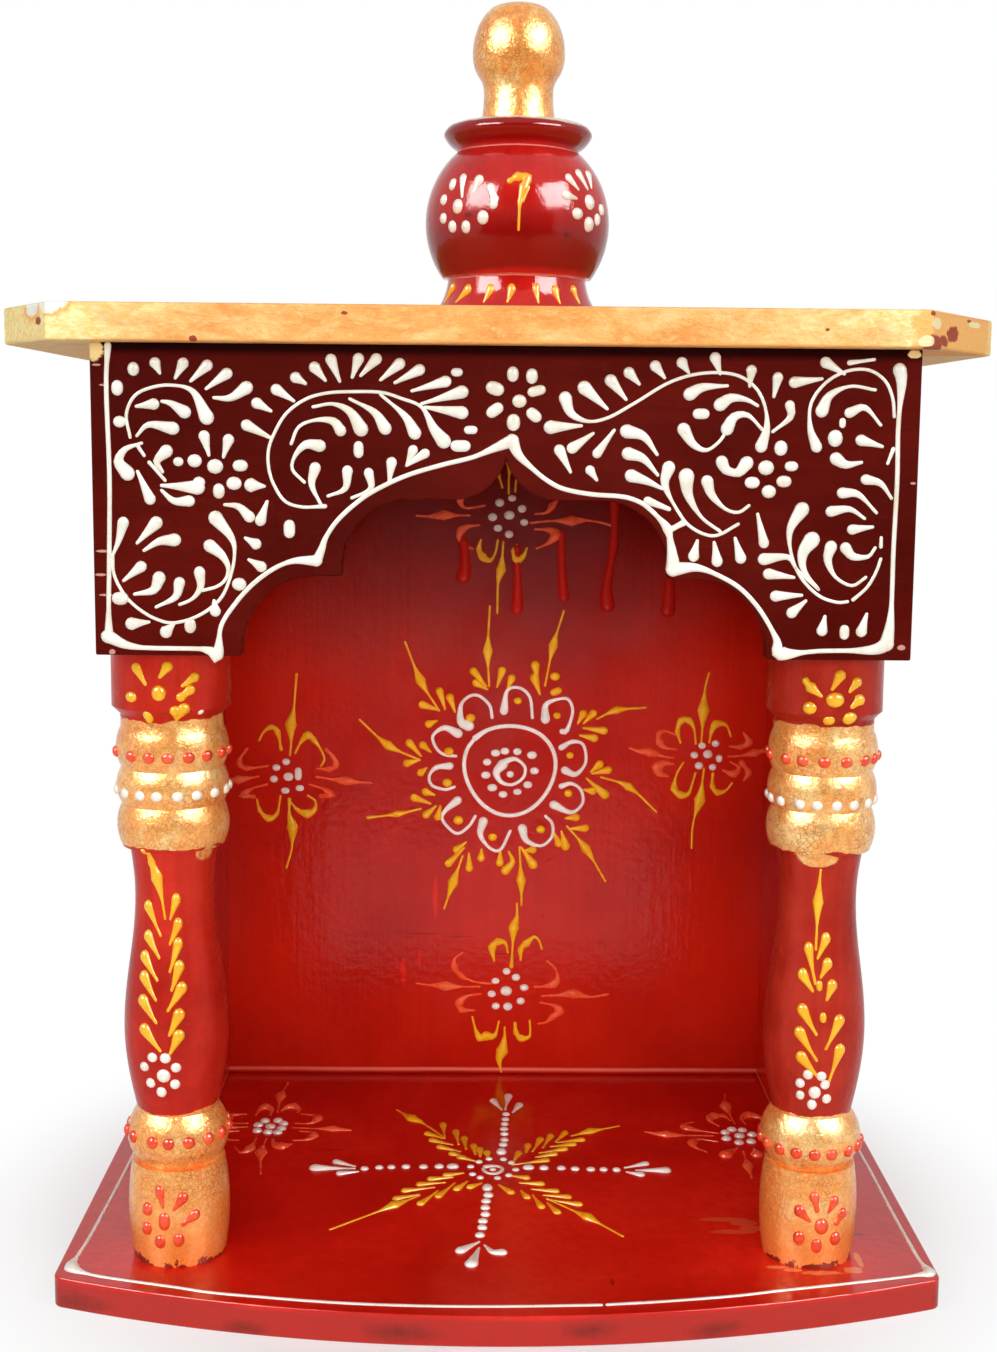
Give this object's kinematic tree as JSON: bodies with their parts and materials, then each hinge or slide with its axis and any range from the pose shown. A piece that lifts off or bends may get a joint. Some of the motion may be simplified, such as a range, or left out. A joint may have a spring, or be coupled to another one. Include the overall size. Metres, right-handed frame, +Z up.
{
  "type": "pooja mandir",
  "caption": "Small table-top wooden shrine: bow-fronted base, three walls, two turned columns, cusped arch panel, overhanging roof and pot finial.",
  "frame": {"origin": "centre of the base board's underside, under the middle of the bounding box", "axes": "+Z up, -Y out of the open front, +X to the right as seen from the front"},
  "size_m": [0.305, 0.213, 0.4183],
  "materials": {
    "red_lacquered_wood": "glossy red lacquer, hand brushed",
    "maroon_lacquered_wood": "dark maroon paint, satin",
    "gold_painted_wood": "gold paint, mottled brush marks",
    "cream_relief_paint": "thick cream paint laid on in raised lines and dots",
    "orange_relief_paint": "thick orange-red paint laid on in raised dots and petals",
    "yellow_relief_paint": "thick yellow paint laid on in raised strokes"
  },
  "bodies": {
    "root": {"base_board": "red_lacquered_wood", "back_panel": "red_lacquered_wood", "left_side_wall": "red_lacquered_wood", "right_side_wall": "red_lacquered_wood", "left_column": "red_lacquered_wood", "right_column": "red_lacquered_wood", "arch_panel": "maroon_lacquered_wood", "roof_board": "gold_painted_wood", "finial_pot": "red_lacquered_wood", "finial_knob": "gold_painted_wood", "base_border": "cream_relief_paint", "arch_border": "cream_relief_paint", "left_top_ring_beads": "orange_relief_paint", "left_mid_ring_beads": "cream_relief_paint", "left_collar_beads": "orange_relief_paint", "right_top_ring_beads": "orange_relief_paint", "right_mid_ring_beads": "cream_relief_paint", "right_collar_beads": "orange_relief_paint"}
  },
  "joints": []
}
